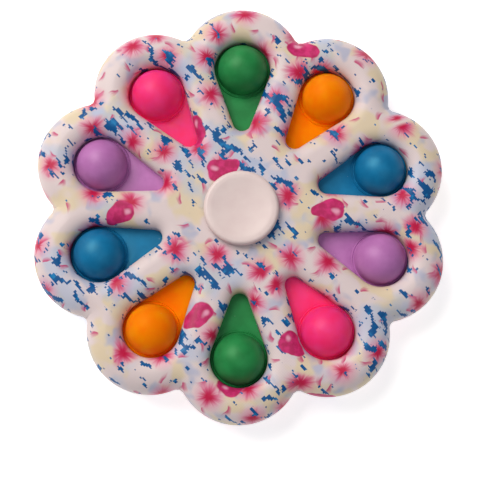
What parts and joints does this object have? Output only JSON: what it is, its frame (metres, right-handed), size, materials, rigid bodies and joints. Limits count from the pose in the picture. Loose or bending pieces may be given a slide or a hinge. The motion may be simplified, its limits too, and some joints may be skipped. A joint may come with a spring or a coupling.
{
  "type": "bubble pop fidget spinner",
  "caption": "Flower-shaped fidget spinner: a printed two-shell housing round a ball bearing, with a silicone bubble to pop in each petal and a finger cap on each side.",
  "frame": {"origin": "centre of the back finger cap's rim plane, on the spin axis: the middle of the bounding box's base", "axes": "+Z along the spin axis, out of the front face that the bubbles stand proud of; +Y through the middle of the first green petal"},
  "size_m": [0.1178, 0.122, 0.0186],
  "materials": {
    "printed_abs": "satin moulded ABS with an all-over printed film in pastel pink, cream, lavender and blue",
    "cap_abs": "satin moulded ABS, warm white",
    "silicone_green": "matte moulded silicone",
    "silicone_orange": "matte moulded silicone",
    "silicone_blue": "matte moulded silicone",
    "silicone_purple": "matte moulded silicone",
    "silicone_pink": "matte moulded silicone",
    "bearing_steel": "ground and polished bearing steel",
    "cage_steel": "pressed steel"
  },
  "bodies": {
    "hub": {"front_finger_cap": "cap_abs", "back_finger_cap": "cap_abs", "bearing_inner_ring": "bearing_steel"},
    "spinner": {"front_shell": "printed_abs", "back_shell": "printed_abs", "bearing_outer_ring": "bearing_steel", "bearing_shield_front": "bearing_steel", "bearing_shield_back": "bearing_steel"},
    "ball_cage": {"bearing_ball_1": "bearing_steel", "bearing_ball_2": "bearing_steel", "bearing_ball_3": "bearing_steel", "bearing_ball_4": "bearing_steel", "bearing_ball_5": "bearing_steel", "bearing_ball_6": "bearing_steel", "bearing_ball_7": "bearing_steel", "bearing_cage": "cage_steel"},
    "bubble_1_green": {"bubble_1_green": "silicone_green"},
    "bubble_2_orange": {"bubble_2_orange": "silicone_orange"},
    "bubble_3_blue": {"bubble_3_blue": "silicone_blue"},
    "bubble_4_purple": {"bubble_4_purple": "silicone_purple"},
    "bubble_5_pink": {"bubble_5_pink": "silicone_pink"},
    "bubble_6_green": {"bubble_6_green": "silicone_green"},
    "bubble_7_orange": {"bubble_7_orange": "silicone_orange"},
    "bubble_8_blue": {"bubble_8_blue": "silicone_blue"},
    "bubble_9_purple": {"bubble_9_purple": "silicone_purple"},
    "bubble_10_pink": {"bubble_10_pink": "silicone_pink"}
  },
  "joints": [
    {"name": "spinner_spin", "type": "hinge", "parent": "hub", "child": "spinner", "pos_m": [0, 0, 0.0093], "axis": [0, 0, 1], "continuous": true},
    {"name": "ball_cage_turn", "type": "hinge", "parent": "hub", "child": "ball_cage", "pos_m": [0, 0, 0.0093], "axis": [0, 0, 1], "continuous": true},
    {"name": "bubble_1_pop", "type": "slide", "parent": "spinner", "child": "bubble_1_green", "axis": [0, 0, 1], "range_m": [-0.0169, 0], "deforming": ["bubble_1_green"]},
    {"name": "bubble_2_pop", "type": "slide", "parent": "spinner", "child": "bubble_2_orange", "axis": [0, 0, 1], "range_m": [-0.0169, 0], "deforming": ["bubble_2_orange"]},
    {"name": "bubble_3_pop", "type": "slide", "parent": "spinner", "child": "bubble_3_blue", "axis": [0, 0, 1], "range_m": [-0.0169, 0], "deforming": ["bubble_3_blue"]},
    {"name": "bubble_4_pop", "type": "slide", "parent": "spinner", "child": "bubble_4_purple", "axis": [0, 0, 1], "range_m": [-0.0169, 0], "deforming": ["bubble_4_purple"]},
    {"name": "bubble_5_pop", "type": "slide", "parent": "spinner", "child": "bubble_5_pink", "axis": [0, 0, 1], "range_m": [-0.0169, 0], "deforming": ["bubble_5_pink"]},
    {"name": "bubble_6_pop", "type": "slide", "parent": "spinner", "child": "bubble_6_green", "axis": [0, 0, 1], "range_m": [-0.0169, 0], "deforming": ["bubble_6_green"]},
    {"name": "bubble_7_pop", "type": "slide", "parent": "spinner", "child": "bubble_7_orange", "axis": [0, 0, 1], "range_m": [-0.0169, 0], "deforming": ["bubble_7_orange"]},
    {"name": "bubble_8_pop", "type": "slide", "parent": "spinner", "child": "bubble_8_blue", "axis": [0, 0, 1], "range_m": [-0.0169, 0], "deforming": ["bubble_8_blue"]},
    {"name": "bubble_9_pop", "type": "slide", "parent": "spinner", "child": "bubble_9_purple", "axis": [0, 0, 1], "range_m": [-0.0169, 0], "deforming": ["bubble_9_purple"]},
    {"name": "bubble_10_pop", "type": "slide", "parent": "spinner", "child": "bubble_10_pink", "axis": [0, 0, 1], "range_m": [-0.0169, 0], "deforming": ["bubble_10_pink"]}
  ],
  "couplings": [
    {"joint": "ball_cage_turn", "follows": "spinner_spin", "ratio": 0.6314}
  ]
}
